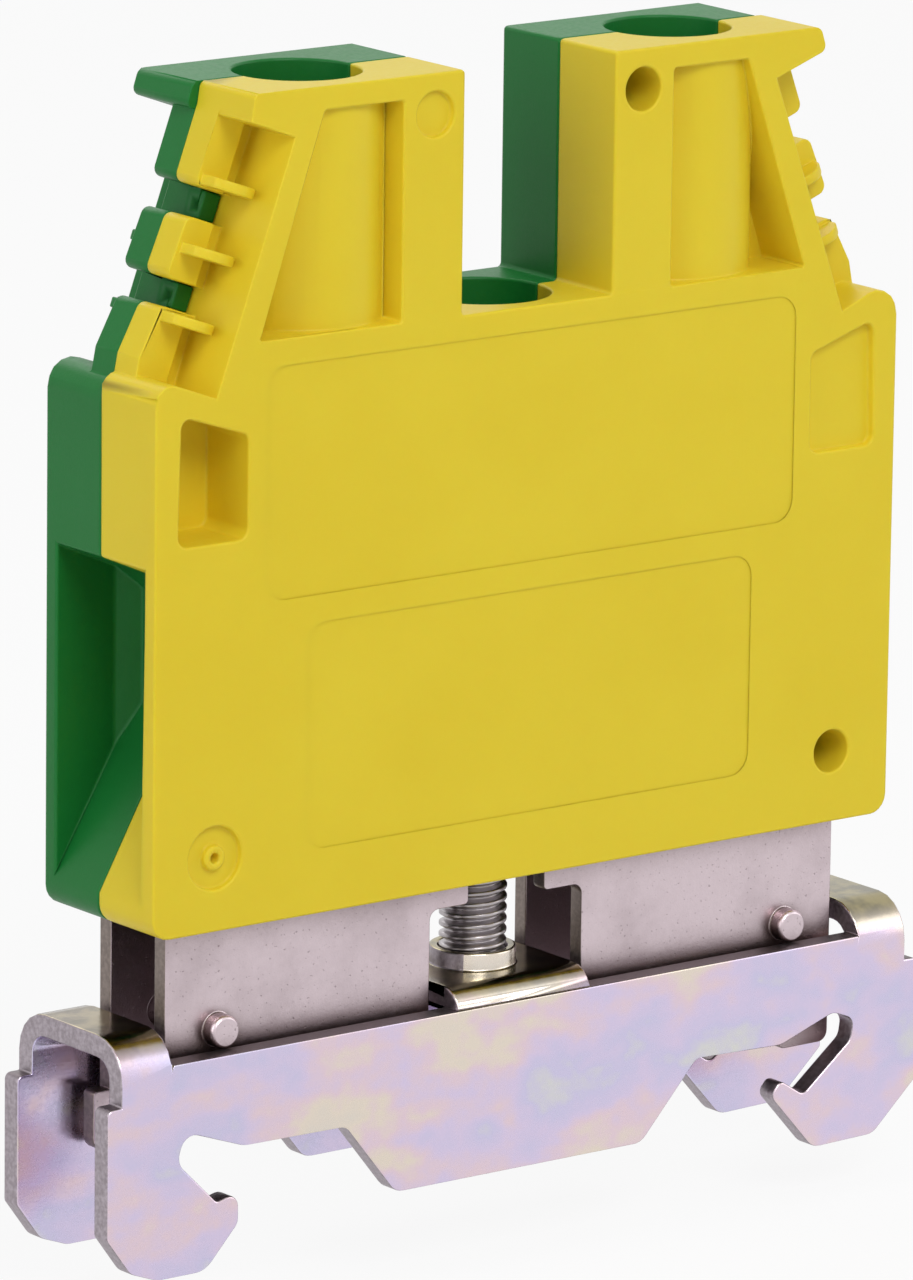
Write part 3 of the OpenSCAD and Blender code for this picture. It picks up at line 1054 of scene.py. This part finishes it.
@dataclass
class Studio:
    """Camera, lamps, floor and world."""

    azimuth: float = -37.617
    elevation: float = 13.12
    roll: float = 0.763
    distance_mm: float = 441.393
    aim_mm: tuple[float, float, float] = (-1.108, 0.0, 20.657)
    lens: float = 284.12
    floor_mm: float = -6.7
    floor_half_m: float = 3.0
    floor_white: float = 0.9
    world_light: float = 0.22

    def build(self) -> None:
        """Make everything that isn't the object."""
        self._camera()
        self._floor()
        self._world()
        self._lamp("key", (-120, -420, 420), 260, 1.45)
        self._lamp("fill", (420, -260, 200), 320, 0.4)
        self._lamp("left", (-420, -40, 160), 300, 0.5)
        self._lamp("back", (120, 420, 380), 320, 0.5)
        self._lamp("top", (0, 0, 520), 300, 0.3)

    def _camera(self) -> None:
        """Place the camera."""
        a, e, r = (math.radians(v) for v in (self.azimuth, self.elevation, self.roll))
        back = Vector((math.sin(a) * math.cos(e), -math.cos(a) * math.cos(e), math.sin(e)))
        right = Vector((math.cos(a), math.sin(a), 0))
        up = back.cross(right)
        across = right * math.cos(r) + up * math.sin(r)
        upward = up * math.cos(r) - right * math.sin(r)
        data = bpy.data.cameras.new("camera")
        data.lens = self.lens
        data.sensor_width = 36
        data.clip_start, data.clip_end = 0.01, 20
        camera = bpy.data.objects.new("camera", data)
        bpy.context.scene.collection.objects.link(camera)
        turn = Matrix((across, upward, back)).transposed()
        place = mm(*self.aim_mm) + back * self.distance_mm * MM
        camera.matrix_world = Matrix.Translation(place) @ turn.to_4x4()
        bpy.context.scene.camera = camera

    def _floor(self) -> None:
        """Add the pale floor."""
        bm = bmesh.new()
        bmesh.ops.create_grid(bm, x_segments=1, y_segments=1, size=self.floor_half_m)
        floor = piece_from("floor", bm)
        floor.location.z = self.floor_mm * MM
        g = Graph("pale floor")
        grain = g.noise(6.0, detail=2)
        colour = g.blend(grain * 0.3, (0.86, 0.86, 0.86), (0.83, 0.83, 0.83))
        cloth = g.node("ShaderNodeBsdfDiffuse", {}, {"Color": colour})
        white = g.node("ShaderNodeEmission", {}, {"Color": (1, 1, 1, 1), "Strength": 1.0})
        share = g.seen() * self.floor_white
        mixed = g.node("ShaderNodeMixShader", {}, {0: share, 1: cloth, 2: white})
        floor.data.materials.append(g.finish(mixed))

    def _world(self) -> None:
        """Give the world a soft grey light and a white look to the camera."""
        world = bpy.data.worlds.new("world")
        bpy.context.scene.world = world
        g = Graph("world", world)
        light, white = (
            g.node("ShaderNodeBackground", {}, {"Color": (1, 1, 1, 1), "Strength": strength})
            for strength in (self.world_light, 1.0)
        )
        g.finish(g.node("ShaderNodeMixShader", {}, {0: g.seen(), 1: light, 2: white}))

    def _lamp(self, name: str, at: Sequence[float], size: float, power: float) -> None:
        """Add one soft lamp that faces the object.

        Args:
            name: The lamp's name.
            at: Its place in millimetres.
            size: Its side in millimetres.
            power: Its power in watts.
        """
        data = bpy.data.lights.new(name, "AREA")
        data.size = size * MM
        data.energy = power
        lamp = bpy.data.objects.new(name, data)
        bpy.context.scene.collection.objects.link(lamp)
        lamp.location = mm(*at)
        lamp.rotation_euler = (mm(0, 0, 20) - lamp.location).to_track_quat("-Z", "Y").to_euler()


def main() -> None:
    """Build the scene and report each piece."""
    logging.basicConfig(level=logging.INFO, format="%(message)s")
    bpy.context.scene.view_settings.view_transform = "Standard"
    Studio().build()
    for group in (Housing(), EarthMetal(), RailFoot(), Fastenings()):
        for piece in group.build():
            LOG.info("%s: %d faces", piece.name, len(piece.data.polygons))


if __name__ == "__main__":
    main()
